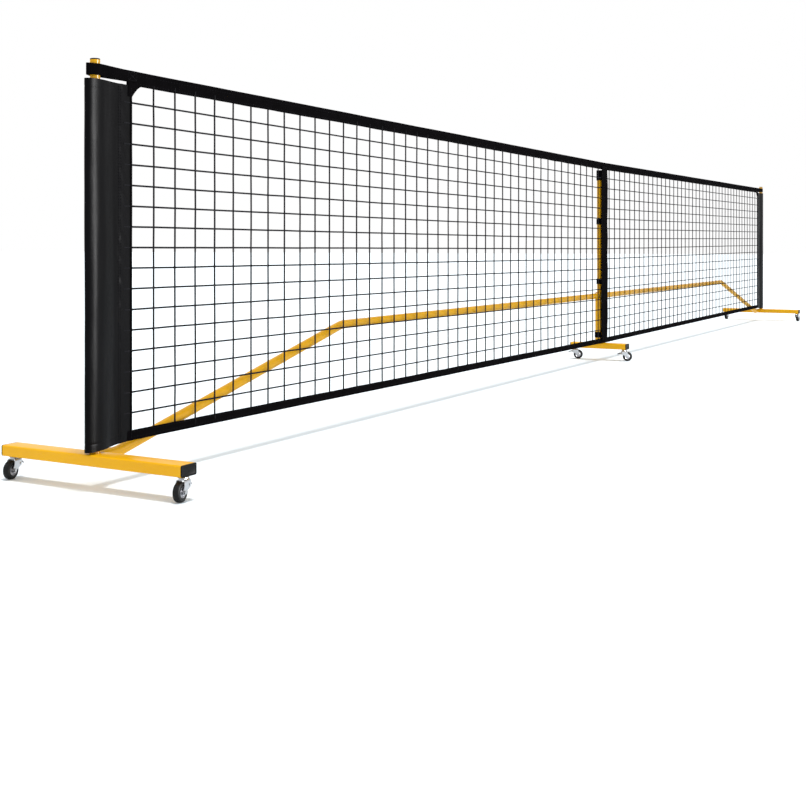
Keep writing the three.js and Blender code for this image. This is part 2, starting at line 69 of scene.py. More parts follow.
HALF_NET = middle("right_post").x
FRAME_Y = middle("right_inner_bar").y
BAR_HEIGHT = middle("right_inner_bar").z
BAR_RADIUS = high("right_inner_bar").z - BAR_HEIGHT
POST_RADIUS = high("right_post").y
POST_TOP = high("right_post").z
FOOT_UNDERSIDE = low("left_foot_front_cap").z
FOOT_TOP = high("left_foot_front_cap").z
FOOT_WIDTH = high("left_foot_front_cap").x - low("left_foot_front_cap").x
FOOT_DEPTH = FOOT_TOP - FOOT_UNDERSIDE
FOOT_MIDDLE = (FOOT_UNDERSIDE + FOOT_TOP) / 2
FOOT_CORNER = 4
CAP_LIP = 3
WALL = 1.5
SPIGOT_RADIUS = 9.1  # goes up inside a post
SWAGE_RADIUS = 10.8  # goes into the next leg or bar
PLUG_LENGTH = 60  # how far either goes in
LEG_LOWER_BEND = 3262
LEG_UPPER_BEND = 2290
HOLE_RADIUS = 3.4
HOLE_MARGIN = 6  # plain tube on each side of a button's hole
HARD_EDGE = 35  # degrees

BAND_END = high("net_top_band").x
BAND_TOP_AT_POST = high("left_tension_strap").z
CENTRE_DIP = 16
BAND_TOP_AT_MIDDLE = BAND_TOP_AT_POST - CENTRE_DIP
BAND_HEIGHT = 32
HEM_AT_POST = low("left_sleeve").z
HEM_AT_MIDDLE = low("net_bottom_band").z
HEM_HEIGHT = 22
SLEEVE_TOP = high("left_sleeve").z
STRAP_BOTTOM = low("left_tension_strap").z
POCKET_EDGE = HALF_NET - BAND_END
SLEEVE_FOLD = 29
SLEEVE_BULGE = 13.4
POCKET_SEAM = 72


def between(at_middle, at_post, x):
    return at_middle + (at_post - at_middle) * abs(x) / HALF_NET


def uneven(x, y, z):
    """Smooth noise from -1 to 1, the same each time for the same place."""
    return noise.noise(Vector((x, y, z)))


def band_top(x):
    return between(BAND_TOP_AT_MIDDLE, BAND_TOP_AT_POST, x)


def hem_bottom(x):
    return between(HEM_AT_MIDDLE, HEM_AT_POST, x)


# ---------------------------------------------------------------- camera, light and floor

def add_camera():
    data = bpy.data.cameras.new("camera")
    data.sensor_width = 36
    data.lens = 53.77
    data.shift_x = 0.06
    data.shift_y = -0.1968
    data.clip_end = 100
    camera = bpy.data.objects.new("camera", data)
    camera.location = (-5.306, -1.789, 0.526)
    camera.rotation_euler = (math.radians(90), 0, math.radians(-59.68))
    bpy.context.collection.objects.link(camera)
    bpy.context.scene.camera = camera


def add_softbox():
    """A tall lamp in front of the left end that only shows as a sheen on smooth surfaces."""
    data = bpy.data.lights.new("softbox", "AREA")
    data.shape = "RECTANGLE"
    data.size = 1.1
    data.size_y = 3.2
    data.energy = 850
    softbox = bpy.data.objects.new("softbox", data)
    softbox.location = (-2.3, -3.6, 1.2)
    softbox.rotation_euler = (math.radians(90), 0, 0)
    softbox.visible_diffuse = False
    softbox.visible_camera = False
    bpy.context.collection.objects.link(softbox)


def add_studio():
    """Plain white light from all round."""
    world = bpy.data.worlds.new("studio")
    world.use_nodes = True
    background = world.node_tree.nodes["Background"]
    background.inputs["Color"].default_value = (1, 1, 1, 1)
    bpy.context.scene.world = world


def add_light():
    add_studio()
    data = bpy.data.lights.new("key", "SUN")
    data.energy = 2.0
    data.angle = math.radians(9)
    key = bpy.data.objects.new("key", data)
    key.rotation_euler = (math.radians(2), math.radians(3), 0)
    bpy.context.collection.objects.link(key)
    add_softbox()
    bpy.context.scene.view_settings.view_transform = "Standard"


# ---------------------------------------------------------------- materials

def new_material(name, colour, roughness, **settings):
    material = bpy.data.materials.new(name)
    material.use_nodes = True
    shader = material.node_tree.nodes["Principled BSDF"]
    shader.inputs["Base Color"].default_value = (*colour, 1)
    shader.inputs["Roughness"].default_value = roughness
    for socket, value in settings.items():
        shader.inputs[socket.replace("_", " ")].default_value = value
    return material


def add_node(material, kind, **inputs):
    """A shader node with its inputs set or linked; _ in an input's name is a space."""
    tree = material.node_tree
    node = tree.nodes.new(f"ShaderNode{kind}")
    for name, value in inputs.items():
        socket = node.inputs[name.replace("_", " ")]
        if isinstance(value, bpy.types.NodeSocket):
            tree.links.new(value, socket)
        else:
            socket.default_value = value
    return node


def feed_shader(material, name, source):
    shader = material.node_tree.nodes["Principled BSDF"]
    material.node_tree.links.new(source, shader.inputs[name])


def object_coordinates(material, stretch=(1, 1, 1)):
    coordinates = add_node(material, "TexCoord").outputs["Object"]
    return add_node(material, "Mapping", Scale=stretch, Vector=coordinates).outputs["Vector"]


def noise_pattern(material, scale, detail=4, stretch=(1, 1, 1)):
    place = object_coordinates(material, stretch)
    return add_node(material, "TexNoise", Scale=scale, Detail=detail, Vector=place).outputs[0]


def wave_pattern(material, pitch, direction, distortion=0.0):
    """Ridges that repeat every pitch metres along X, Y, Z or the diagonal of them all."""
    place = object_coordinates(material)
    scale = math.pi / 10 / pitch
    texture = add_node(material, "TexWave", Scale=scale, Distortion=distortion, Vector=place)
    texture.bands_direction = direction
    return texture.outputs[0]


def crossed_yarns(material, operation, pitch, distortion=0.0):
    """Upright and level ridges brought together by a math operation."""
    node = add_node(material, "Math")
    node.operation = operation
    for socket, way in zip(node.inputs, "ZX"):
        pattern = wave_pattern(material, pitch, way, distortion)
        material.node_tree.links.new(pattern, socket)
    return node.outputs[0]


def vary_colour(material, pattern, darker, lighter):
    ramp = add_node(material, "ValToRGB")
    for stop, position, colour in zip(ramp.color_ramp.elements, (0.3, 0.7), (darker, lighter)):
        stop.position = position
        stop.color = (*colour, 1)
    material.node_tree.links.new(pattern, ramp.inputs[0])
    feed_shader(material, "Base Color", ramp.outputs[0])


def vary_roughness(material, pattern, smoother, rougher):
    spread = add_node(material, "MapRange", Value=pattern, To_Min=smoother, To_Max=rougher)
    feed_shader(material, "Roughness", spread.outputs[0])


def add_bump(material, pattern, height):
    """Raises the surface by up to height millimetres where the pattern is light."""
    bump = add_node(material, "Bump", Height=pattern, Distance=height * MM, Strength=1.0)
    normal = material.node_tree.nodes["Principled BSDF"].inputs["Normal"]
    if normal.is_linked:
        material.node_tree.links.new(normal.links[0].from_socket, bump.inputs["Normal"])
    feed_shader(material, "Normal", bump.outputs[0])


def yellow_paint():
    """Satin powder coat with orange peel and faint dust."""
    paint = new_material(
        "yellow_powder_coat", (0.74, 0.37, 0.001), 0.38, Specular_IOR_Level=0.02,
        Coat_Weight=0.4, Coat_Roughness=0.22,
    )
    patches = noise_pattern(paint, 9)
    vary_colour(paint, patches, (0.72, 0.355, 0.0008), (0.76, 0.385, 0.0015))
    vary_roughness(paint, noise_pattern(paint, 40), 0.32, 0.46)
    add_bump(paint, noise_pattern(paint, 900, 2), 0.08)
    return paint


def black_plastic():
    plastic = new_material(
        "moulded_black_plastic", (0.003, 0.003, 0.0032), 0.45, Specular_IOR_Level=0.06
    )
    vary_colour(plastic, noise_pattern(plastic, 60), (0.0025, 0.0025, 0.0027), (0.0045, 0.0045, 0.0048))
    add_bump(plastic, noise_pattern(plastic, 1400, 2), 0.05)
    return plastic


def net_cord():
    """Braided polyester cord: fine diagonal strands."""
    cord = new_material("braided_cord", (0.008, 0.008, 0.01), 0.85, Specular_IOR_Level=0.05)
    strands = wave_pattern(cord, 0.0011, "DIAGONAL", 0.6)
    vary_colour(cord, noise_pattern(cord, 120), (0.006, 0.006, 0.008), (0.014, 0.013, 0.016))
    add_bump(cord, strands, 0.25)
    return cord


def black_webbing():
    """Webbing: ribs across its length with yarns over them."""
    tint = (0.0018, 0.0013, 0.0018)
    cloth = new_material("black_webbing", tint, 0.85, Specular_IOR_Level=0.01)
    darker, lighter = [tuple(share * value for value in tint) for share in (0.65, 1.6)]
    vary_colour(cloth, noise_pattern(cloth, 30), darker, lighter)
    add_bump(cloth, crossed_yarns(cloth, "MAXIMUM", 0.0016), 0.25)
    add_bump(cloth, noise_pattern(cloth, 500, 3), 0.15)
    return cloth


def coated_fabric():
    """Heavy polyester with a coating: a fine plain weave under a satin skin, faintly creased."""
    fabric = new_material("coated_oxford", (0.007, 0.0065, 0.008), 0.34, Specular_IOR_Level=0.035)
    shades = noise_pattern(fabric, 14, 4, (1, 1, 0.35))
    vary_colour(fabric, shades, (0.0018, 0.0016, 0.002), (0.0042, 0.0038, 0.0045))
    vary_roughness(fabric, noise_pattern(fabric, 25, 3, (1, 1, 0.5)), 0.28, 0.4)
    add_bump(fabric, crossed_yarns(fabric, "MULTIPLY", 0.0009, 0.3), 0.025)
    add_bump(fabric, noise_pattern(fabric, 28, 3, (1, 1, 0.3)), 1.0)
    return fabric


def metal(name, colour, roughness, grain_stretch):
    """Plated steel with fine drawn lines."""
    steel = new_material(name, colour, roughness, Metallic=1.0)
    grain = noise_pattern(steel, 260, 4, grain_stretch)
    darker = tuple(0.86 * value for value in colour)
    vary_colour(steel, noise_pattern(steel, 70), darker, colour)
    vary_roughness(steel, grain, 0.6 * roughness, 1.5 * roughness)
    add_bump(steel, grain, 0.03)
    return steel


def black_rubber():
    rubber = new_material("tyre_rubber", (0.007, 0.007, 0.007), 0.5, Specular_IOR_Level=0.12)
    vary_colour(rubber, noise_pattern(rubber, 90), (0.006, 0.006, 0.006), (0.012, 0.012, 0.012))
    add_bump(rubber, noise_pattern(rubber, 700, 3), 0.1)
    return rubber


def floor_surface():
    floor = new_material("pale_floor", (0.8, 0.86, 0.9), 0.95, Specular_IOR_Level=0.0)
    vary_colour(floor, noise_pattern(floor, 3), (0.795, 0.855, 0.895), (0.805, 0.865, 0.905))
    return floor


MATERIALS = {
    "yellow_paint": yellow_paint(),
    "black_plastic": black_plastic(),
    "net_cord": net_cord(),
    "black_webbing": black_webbing(),
    "coated_fabric": coated_fabric(),
    "chrome_steel": metal("bright_chrome", (0.5, 0.505, 0.52), 0.16, (1, 1, 8)),
    "zinc_steel": metal("zinc_plate", (0.3, 0.3, 0.32), 0.3, (8, 1, 1)),
    "black_rubber": black_rubber(),
}


def add_floor():
    half = 60
    corners = [(-half, -half, 0), (half, -half, 0), (half, half, 0), (-half, half, 0)]
    mesh = bpy.data.meshes.new("floor")
    mesh.from_pydata(corners, [], [(0, 1, 2, 3)])
    mesh.materials.append(floor_surface())
    floor = bpy.data.objects.new("floor", mesh)
    bpy.context.collection.objects.link(floor)


# ---------------------------------------------------------------- meshes

def smooth(mesh, sharp=HARD_EDGE):
    """Smooth shading, with a hard edge where faces meet at more than sharp degrees."""
    mesh.shade_smooth()
    mesh.set_sharp_from_angle(angle=math.radians(sharp))


def add_piece(name, shapes, finish, body="frame", place=None, sharp=HARD_EDGE, stands_for=()):
    """Makes one piece from (points, faces) shapes in millimetres. stands_for lists the
    nodes of the frame that it takes the place of."""
    points, faces = [], []
    for shape_points, shape_faces in shapes:
        start = len(points)
        points += shape_points
        faces += [tuple(start + index for index in face) for face in shape_faces]
    if place is not None:
        points = [place @ point for point in points]
    mesh = bpy.data.meshes.new(name)
    mesh.from_pydata([point * MM for point in points], [], faces)
    joined = bmesh.new()
    joined.from_mesh(mesh)
    bmesh.ops.remove_doubles(joined, verts=joined.verts, dist=1e-7)
    bmesh.ops.recalc_face_normals(joined, faces=joined.faces)
    joined.to_mesh(mesh)
    joined.free()
    smooth(mesh, sharp)
    mesh.materials.append(MATERIALS[finish])
    piece = bpy.data.objects.new(name, mesh)
    bpy.context.collection.objects.link(piece)
    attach(piece, body)
    if stands_for:
        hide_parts(*stands_for)
    return piece


def loft(rings, wrap=False):
    """Skins a run of rings of equal length: wrap joins the last to the first, else both
    ends are closed."""
    count = len(rings[0])
    points = [Vector(point) for ring in rings for point in ring]
    faces = []
    for row in range(len(rings) if wrap else len(rings) - 1):
        here = row * count
        there = (row + 1) % len(rings) * count
        for i in range(count):
            j = (i + 1) % count
            faces.append((here + i, here + j, there + j, there + i))
    if not wrap:
        last = (len(rings) - 1) * count
        faces.append(tuple(reversed(range(count))))
        faces.append(tuple(range(last, last + count)))
    return points, faces


def circle(radius, z, sides=48):
    turns = [2 * math.pi * i / sides for i in range(sides)]
    return [Vector((radius * math.cos(a), radius * math.sin(a), z)) for a in turns]


def turned(profile, sides=48, wrap=False):
    """A solid of revolution about Z from (radius, height) points."""
    return loft([circle(radius, z, sides) for radius, z in profile], wrap)


def moved(shape, matrix):
    points, faces = shape
    return [matrix @ point for point in points], faces


def shifted(shape, x=0.0, y=0.0, z=0.0):
    return moved(shape, Matrix.Translation((x, y, z)))


def along_y(shape):
    return moved(shape, Matrix.Rotation(-math.pi / 2, 4, "X"))


def along_x(shape, side=1):
    return moved(shape, Matrix.Rotation(side * math.pi / 2, 4, "Y"))


def arc(centre, radius, start, end, steps):
    angles = [math.radians(start + (end - start) * i / steps) for i in range(steps + 1)]
    return [(centre[0] + radius * math.cos(a), centre[1] + radius * math.sin(a)) for a in angles]


def rounded_rectangle(width, height, corner, steps=6):
    right, up = width / 2 - corner, height / 2 - corner
    outline = arc((right, -up), corner, -90, 0, steps)
    outline += arc((right, up), corner, 0, 90, steps)
    outline += arc((-right, up), corner, 90, 180, steps)
    outline += arc((-right, -up), corner, 180, 270, steps)
    return outline


def ring_at(outline, z):
    return [Vector((x, y, z)) for x, y in outline]


def box_tube(width, depth, corner, bottom, top):
    """Rectangular tube along Z with a wall and softly broken ends."""
    ease = 0.3
    inside = corner - WALL
    outer = [
        (ease, bottom), (0, bottom + ease), (0, top - ease), (ease, top),
    ]
    rings = [
        ring_at(rounded_rectangle(width - 2 * inset, depth - 2 * inset, corner - inset), z)
        for inset, z in outer
    ]
    rings += [
        ring_at(rounded_rectangle(width - 2 * WALL, depth - 2 * WALL, inside), z)
        for z in (top, bottom)
    ]
    return loft(rings, wrap=True)


def pipe(radius, bottom, top, wall=WALL, sides=48):
    ease = 0.3
    profile = [
        (radius - ease, bottom), (radius, bottom + ease), (radius, top - ease),
        (radius - ease, top), (radius - wall, top), (radius - wall, bottom),
    ]
    return turned(profile, sides, wrap=True)


def swept_ring(point, tangent, radius, sides):
    """A ring across a path that lies in an upright plane facing Y."""
    side = tangent.cross(Y_AXIS).normalized()
    turns = [2 * math.pi * i / sides for i in range(sides)]
    return [point + radius * (math.cos(a) * side + math.sin(a) * Y_AXIS) for a in turns]


def tangents(path):
    last = len(path) - 1
    return [(path[min(i + 1, last)] - path[max(i - 1, 0)]).normalized() for i in range(last + 1)]


def swept(path, radius, sides):
    return loft([swept_ring(p, t, radius, sides) for p, t in zip(path, tangents(path))])


def swept_pipe(path, radius, wall, sides=48):
    ways = tangents(path)
    outer = [swept_ring(p, t, radius, sides) for p, t in zip(path, ways)]
    inner = [swept_ring(p, t, radius - wall, sides) for p, t in zip(path, ways)]
    return loft(outer + inner[::-1], wrap=True)


def bead(radius, thickness, ripples, sides=96):
    """A weld bead round the Z axis at z = 0, with the scallops of its passes."""
    rings = []
    for i in range(sides):
        turn = 2 * math.pi * i / sides
        swell = thickness * (1 + 0.12 * math.sin(ripples * turn))
        out = Vector((math.cos(turn), math.sin(turn), 0))
        rings.append([
            out * (radius + swell * math.cos(a)) + Z_AXIS * (0.8 * swell * math.sin(a))
            for a in [2 * math.pi * j / 8 for j in range(8)]
        ])
    return loft(rings, wrap=True)


def box_bead(width, depth, corner, thickness):
    """A weld bead round a rectangular tube, at z = 0."""
    rings = []
    for scale, z in [(0, 0), (1, 0), (0.75, 0.75), (0, 1)]:
        grown = rounded_rectangle(
            width + 2 * scale * thickness, depth + 2 * scale * thickness,
            corner + scale * thickness, 5,
        )
        rings.append(ring_at(grown, z * thickness))
    return loft(rings, wrap=True)


def drill(piece, x, z):
    """Cuts a spring button's hole in the top of a tube that lies at height z."""
    cutter_mesh = bpy.data.meshes.new("cutter")
    profile = [(HOLE_RADIUS, z), (HOLE_RADIUS, z + 2 * BAR_RADIUS)]
    points, faces = shifted(turned(profile, 24), x, FRAME_Y)
    cutter_mesh.from_pydata([point * MM for point in points], [], faces)
    cutter = bpy.data.objects.new("cutter", cutter_mesh)
    bpy.context.collection.objects.link(cutter)
    cut = piece.modifiers.new("hole", "BOOLEAN")
    cut.operation = "DIFFERENCE"
    cut.solver = "EXACT"
    cut.object = cutter
    evaluated = piece.evaluated_get(bpy.context.evaluated_depsgraph_get())
    drilled = bpy.data.meshes.new_from_object(evaluated)
    piece.modifiers.clear()
    piece.data = drilled
    smooth(drilled)
    bpy.data.objects.remove(cutter)


# ---------------------------------------------------------------- cloth

def sheet_shell(grid, thickness):
    """A closed cloth solid round a grid of points, half its thickness on each side."""
    rows, columns = len(grid), len(grid[0])
    front, back = [], []
    for i in range(rows):
        for j in range(columns):
            along = grid[min(i + 1, rows - 1)][j] - grid[max(i - 1, 0)][j]
            across = grid[i][min(j + 1, columns - 1)] - grid[i][max(j - 1, 0)]
            lift = along.cross(across).normalized() * thickness / 2
            front.append(grid[i][j] + lift)
            back.append(grid[i][j] - lift)
    count = rows * columns
    faces = []
    for i in range(rows - 1):
        for j in range(columns - 1):
            a = i * columns + j
            b, c, d = a + 1, a + columns + 1, a + columns
            faces.append((a, b, c, d))
            faces.append((d + count, c + count, b + count, a + count))
    rim = list(range(columns))
    rim += [i * columns + columns - 1 for i in range(1, rows)]
    rim += [(rows - 1) * columns + j for j in range(columns - 2, -1, -1)]
    rim += [i * columns for i in range(rows - 2, 0, -1)]
    for k, here in enumerate(rim):
        after = rim[(k + 1) % len(rim)]
        faces.append((after, here, here + count, after + count))
    return front + back, faces


def smoothed(path, passes):
    for _ in range(passes):
        inner = [
            (path[i - 1] + 2 * path[i] + path[i + 1]) / 4 for i in range(1, len(path) - 1)
        ]
        path = [path[0], *inner, path[-1]]
    return path


def straight(start, end, steps):
    return [start.lerp(end, i / steps) for i in range(steps)]


def strap_path():
    """The middle of a tension strap's webbing seen from above, with the net towards +X:
    sewn end, seam, round the post, fold, and back."""
    radius, fold, seam, sewn_end, gap = 12.3, 25, 88, 134, 2.9
    at_seam = math.acos(radius / seam)
    at_fold = math.pi - math.acos(radius / fold)
    arc_steps = 15
    turns = [at_seam + (at_fold - at_seam) * i / arc_steps for i in range(arc_steps + 1)]
    round_post = [Vector((radius * math.cos(a), radius * math.sin(a))) for a in turns]
    start, join, tip = [Vector((x, gap)) for x in (sewn_end, seam, -fold)]
    half = straight(start, join, 8) + straight(join, round_post[0], 12)
    half += round_post[:-1] + straight(round_post[-1], tip, 6) + [tip]
    other = [Vector((point.x, -point.y)) for point in reversed(half)]
    outside = Vector((-fold - 0.8 * gap, 0))
    return smoothed([*half, outside, *other], 2)


def at_post(side, x, y, z):
    """A point given from the post, with x towards the middle of the net."""
    return Vector((side * (HALF_NET - x), y, z))


def stitch(centre, along, out):
    """One raised stitch of thread lying on cloth."""
    length, width, height = 4.2, 0.9, 0.45
    side = along.cross(out).normalized()
    rings = []
    for share, swell in [(-0.5, 0.25), (-0.25, 1), (0.25, 1), (0.5, 0.25)]:
        middle_point = centre + along * (share * length)
        rings.append([
            middle_point - side * width * swell / 2 - out * 0.3,
            middle_point + side * width * swell / 2 - out * 0.3,
            middle_point + side * width * swell / 3 + out * height * swell,
            middle_point - side * width * swell / 3 + out * height * swell,
        ])
    return loft(rings)


def stitch_row(start, end, out, pitch, sway=None):
    """Stitches from start to end, a pitch apart. sway(x) is how far the cloth stands
    off in Y."""
    count = max(2, int((end - start).length / pitch))
    along = (end - start).normalized()
    row = []
    for i in range(count):
        centre = start.lerp(end, (i + 0.5) / count)
        if sway is not None:
            centre.y += sway(centre.x)
        row.append(stitch(centre, along, out))
    return row


# ---------------------------------------------------------------- frame tubes

def foot_tube(foot, x, y):
    """The rectangular tube of a foot, lying along Y with its middle at x, y."""
    half = high(f"{foot}_foot_rear_cap").y - y - CAP_LIP
    tube = box_tube(FOOT_WIDTH, FOOT_DEPTH, FOOT_CORNER, -half, half)
    return shifted(moved(tube, Matrix.Rotation(math.pi / 2, 4, "X")), x, y, FOOT_MIDDLE)


def add_end_foot(name, side):
    """side is +1 for the right end; the leg leaves towards the middle."""
    foot = foot_tube(name, side * HALF_NET, 0)
    post_weld = shifted(bead(POST_RADIUS + 0.6, 1.7, 22), side * HALF_NET, 0, FOOT_TOP + 0.6)
    spigot = pipe(SPIGOT_RADIUS, FOOT_TOP - 1, FOOT_TOP + PLUG_LENGTH)
    spigot = shifted(spigot, side * HALF_NET, 0)
    stub_root = HALF_NET - FOOT_WIDTH / 2
    stub = along_x(pipe(SWAGE_RADIUS, stub_root - PLUG_LENGTH, stub_root + 1), side)
    stub = shifted(stub, 0, FRAME_Y, FOOT_MIDDLE)
    leg_weld = along_x(shifted(bead(11.2, 1.5, 20), 0, 0, stub_root - 0.1), side)
    leg_weld = shifted(leg_weld, 0, FRAME_Y, FOOT_MIDDLE)
    shapes = [foot, post_weld, spigot, stub, leg_weld]
    add_piece(f"{name}_foot_tube", shapes, "yellow_paint", stands_for=[f"{name}_foot"])


def add_centre_foot():
    spigot = shifted(box_tube(46, 21, 2.5, FOOT_TOP - 1, FOOT_TOP + 30), 0, FRAME_Y)
    shapes = [foot_tube("centre", 0, FRAME_Y), spigot]
    add_piece("centre_foot_tube", shapes, "yellow_paint", stands_for=["centre_foot"])


def add_end_post(name, side):
    """The post, seen above the sleeve."""
    post = shifted(pipe(POST_RADIUS, low(f"{name}_post").z, POST_TOP), side * HALF_NET)
    add_piece(f"{name}_post_tube", [post], "yellow_paint", stands_for=[f"{name}_post"])
    cap = turned([
        (8.6, -15), (9.0, -14), (9.0, 0.3), (10.6, 0.3), (POST_RADIUS, 0.7), (POST_RADIUS, 1.6),
        (10.6, 2.3), (9.6, 2.8), (8, 3.0), (0.4, 3.0),
    ])
    cap = shifted(cap, side * HALF_NET, 0, POST_TOP)
    add_piece(f"{name}_post_plug", [cap], "black_plastic", stands_for=[f"{name}_post_cap"])


def add_foot_caps(foot):
    """Plugs with a bevelled face and a shallow dish, on a plain stem that goes into the tube."""
    levels = [
        (2.4, -6), (2.0, -5), (2.0, 0.2), (0.2, 0.2), (0, 0.5), (0, 2.2), (0.3, 2.8),
        (1.0, 3.0), (3.2, 3.0), (3.8, 2.5),
    ]
    rings = [
        ring_at(rounded_rectangle(FOOT_WIDTH - 2 * inset, FOOT_DEPTH - 2 * inset,
                                  max(FOOT_CORNER - inset, 0.8)), z)
        for inset, z in levels
    ]
    for where, end in [("front", -1), ("rear", 1)]:
        node = f"{foot}_foot_{where}_cap"
        mouth = high(node).y - CAP_LIP if end > 0 else low(node).y + CAP_LIP
        turn = Matrix.Rotation(-end * math.pi / 2, 4, "X")
        place = Matrix.Translation((middle(node).x, mouth, FOOT_MIDDLE)) @ turn
        add_piece(f"{foot}_foot_{where}_plug", [loft(rings)], "black_plastic", place=place,
                  stands_for=[node])


def bend(path_in, corner, path_out, radius, steps):
    """A round bend of a given radius in place of a corner."""
    before = (path_in - corner).normalized()
    after = (path_out - corner).normalized()
    half_angle = before.angle(after) / 2
    centre = corner + (before + after).normalized() * radius / math.sin(half_angle)
    trim = radius / math.tan(half_angle)
    start = corner + before * trim - centre
    end = corner + after * trim - centre
    axis = start.cross(end).normalized()
    whole = start.angle(end)
    turn = [Matrix.Rotation(whole * i / steps, 3, axis) for i in range(steps + 1)]
    return [centre + step @ start for step in turn]


def add_leg(name, side):
    node = f"{name}_leg"
    outer_x = high(node).x if side > 0 else -low(node).x
    inner_x = low(node).x if side > 0 else -high(node).x
    corners = [
        Vector((side * x, FRAME_Y, z)) for x, z in
        [(outer_x, FOOT_MIDDLE), (LEG_LOWER_BEND, FOOT_MIDDLE), (LEG_UPPER_BEND, BAR_HEIGHT),
         (inner_x, BAR_HEIGHT)]
    ]
    holes = [abs(middle(f"{name}_{where}_button").x) for where in ("foot", "leg")]
    near_holes = [
        [Vector((side * (x + step), FRAME_Y, z)) for step in (HOLE_MARGIN, -HOLE_MARGIN)]
        for x, z in zip(holes, (FOOT_MIDDLE, BAR_HEIGHT))
    ]
    path = [corners[0], *near_holes[0]]
    path += bend(corners[0], corners[1], corners[2], 95, 10)
    path += bend(corners[1], corners[2], corners[3], 150, 12)
    path += [*near_holes[1], corners[3]]
    tube = swept_pipe(path, BAR_RADIUS, WALL)
    piece = add_piece(f"{name}_leg_tube", [tube], "yellow_paint", stands_for=[node])
    for x, z in zip(holes, (FOOT_MIDDLE, BAR_HEIGHT)):
        drill(piece, side * x, z)


def add_bar(name, which, button):
    """A straight bar with a plain end near the middle and a reduced end that plugs in."""
    node = f"{name}_{which}_bar"
    side = 1 if name == "right" else -1
    start = low(node).x if side > 0 else -high(node).x
    end = (high(node).x if side > 0 else -low(node).x) - PLUG_LENGTH
    tip = end + PLUG_LENGTH
    hole = abs(middle(f"{name}_{button}_button").x)
    profile = [
        (BAR_RADIUS - 0.3, start), (BAR_RADIUS, start + 0.3), (BAR_RADIUS, hole - HOLE_MARGIN),
        (BAR_RADIUS, hole + HOLE_MARGIN), (BAR_RADIUS, end - 6), (12.2, end - 4.4),
        (11.3, end - 1.6), (SWAGE_RADIUS, end), (SWAGE_RADIUS, tip - 0.3), (10.5, tip), (9.3, tip),
        (9.3, end), (BAR_RADIUS - WALL, end - 7.5), (BAR_RADIUS - WALL, start),
    ]
    tube = shifted(along_x(turned(profile, wrap=True), side), 0, FRAME_Y, BAR_HEIGHT)
    piece = add_piece(f"{name}_{which}_bar_tube", [tube], "yellow_paint", stands_for=[node])
    drill(piece, side * hole, BAR_HEIGHT)


def add_centre_post():
    bottom, top = low("centre_lower_post").z, low("centre_upper_post").z - 0.3
    width, depth = FOOT_WIDTH, FOOT_DEPTH
    tube = box_tube(width, depth, FOOT_CORNER, bottom, top - WALL)
    lid_levels = [(0, -WALL), (0, -0.8), (0.25, -0.25), (0.9, 0)]
    lid = loft([
        ring_at(rounded_rectangle(width - 2 * i, depth - 2 * i, FOOT_CORNER - i), top + z)
        for i, z in lid_levels
    ])
    upright = [shifted(shape, 0, FRAME_Y) for shape in (
        tube, lid, pipe(SPIGOT_RADIUS, top - 0.5, top + PLUG_LENGTH),
        shifted(bead(10.2, 1.0, 20), 0, 0, top + 0.1),
        shifted(box_bead(width, depth, FOOT_CORNER, 1.6), 0, 0, FOOT_TOP - 0.1),
    )]
    stubs = []
    for side in (-1, 1):
        stub = along_x(pipe(SWAGE_RADIUS, width / 2 - 1, width / 2 + PLUG_LENGTH), side)
        weld = along_x(shifted(bead(11.2, 1.4, 20), 0, 0, width / 2), side)
        stubs += [shifted(shape, 0, FRAME_Y, BAR_HEIGHT) for shape in (stub, weld)]
    add_piece("centre_post_base", upright + stubs, "yellow_paint", stands_for=["centre_lower_post"])
    post = shifted(pipe(POST_RADIUS, top + 0.3, high("centre_upper_post").z), 0, FRAME_Y)
    add_piece("centre_post_tube", [post], "yellow_paint", stands_for=["centre_upper_post"])


def add_buttons():
    """Domed steel buttons with the shoulder that stops them inside the tube."""
    for name in ("left", "right"):
        for where in ("foot", "leg", "bar", "centre"):
            node = f"{name}_{where}_button"
            base, top = low(node).z, high(node).z
            profile = [
                (4.0, base), (4.1, base + 0.3), (4.1, base + 0.8), (3.1, base + 1.0),
                (3.1, top - 1.6), (2.9, top - 0.9), (2.3, top - 0.35), (1.2, top - 0.05),
                (0.3, top),
            ]
            button = shifted(turned(profile, 24), middle(node).x, FRAME_Y)
            add_piece(f"{node}_pin", [button], "zinc_steel", body=node, stands_for=[node])


# ---------------------------------------------------------------- casters

TRAIL = 14
AXLE_HEIGHT = middle("left_front_caster_wheel").z
PIVOT_X = -8
PIVOT_Z = 33
FORK_OUTSIDE = 11.1
PLATE = 1.8
YOKE_TOP = 46
LUG = 5.5


def cheek_back(z):
    """The fork's edge on the pedal side, at a height."""
    if z > 31:
        return PIVOT_X - 4
    if z > 28:
        return PIVOT_X - 4 * math.sqrt(max(0, 1 - ((31 - z) / 3) ** 2))
    if z > AXLE_HEIGHT - 1:
        share = (28 - z) / (29 - AXLE_HEIGHT)
        return PIVOT_X + share * (TRAIL - LUG - PIVOT_X)
    return TRAIL - LUG * math.sqrt(max(0.02, 1 - ((AXLE_HEIGHT - z) / LUG) ** 2))


def cheek_front(z):
    """The fork's edge on the wheel side, at a height."""
    if z > AXLE_HEIGHT:
        share = (z - AXLE_HEIGHT) / (YOKE_TOP - AXLE_HEIGHT)
        return TRAIL + LUG - 9 * share
    return TRAIL + LUG * math.sqrt(max(0.02, 1 - ((AXLE_HEIGHT - z) / LUG) ** 2))


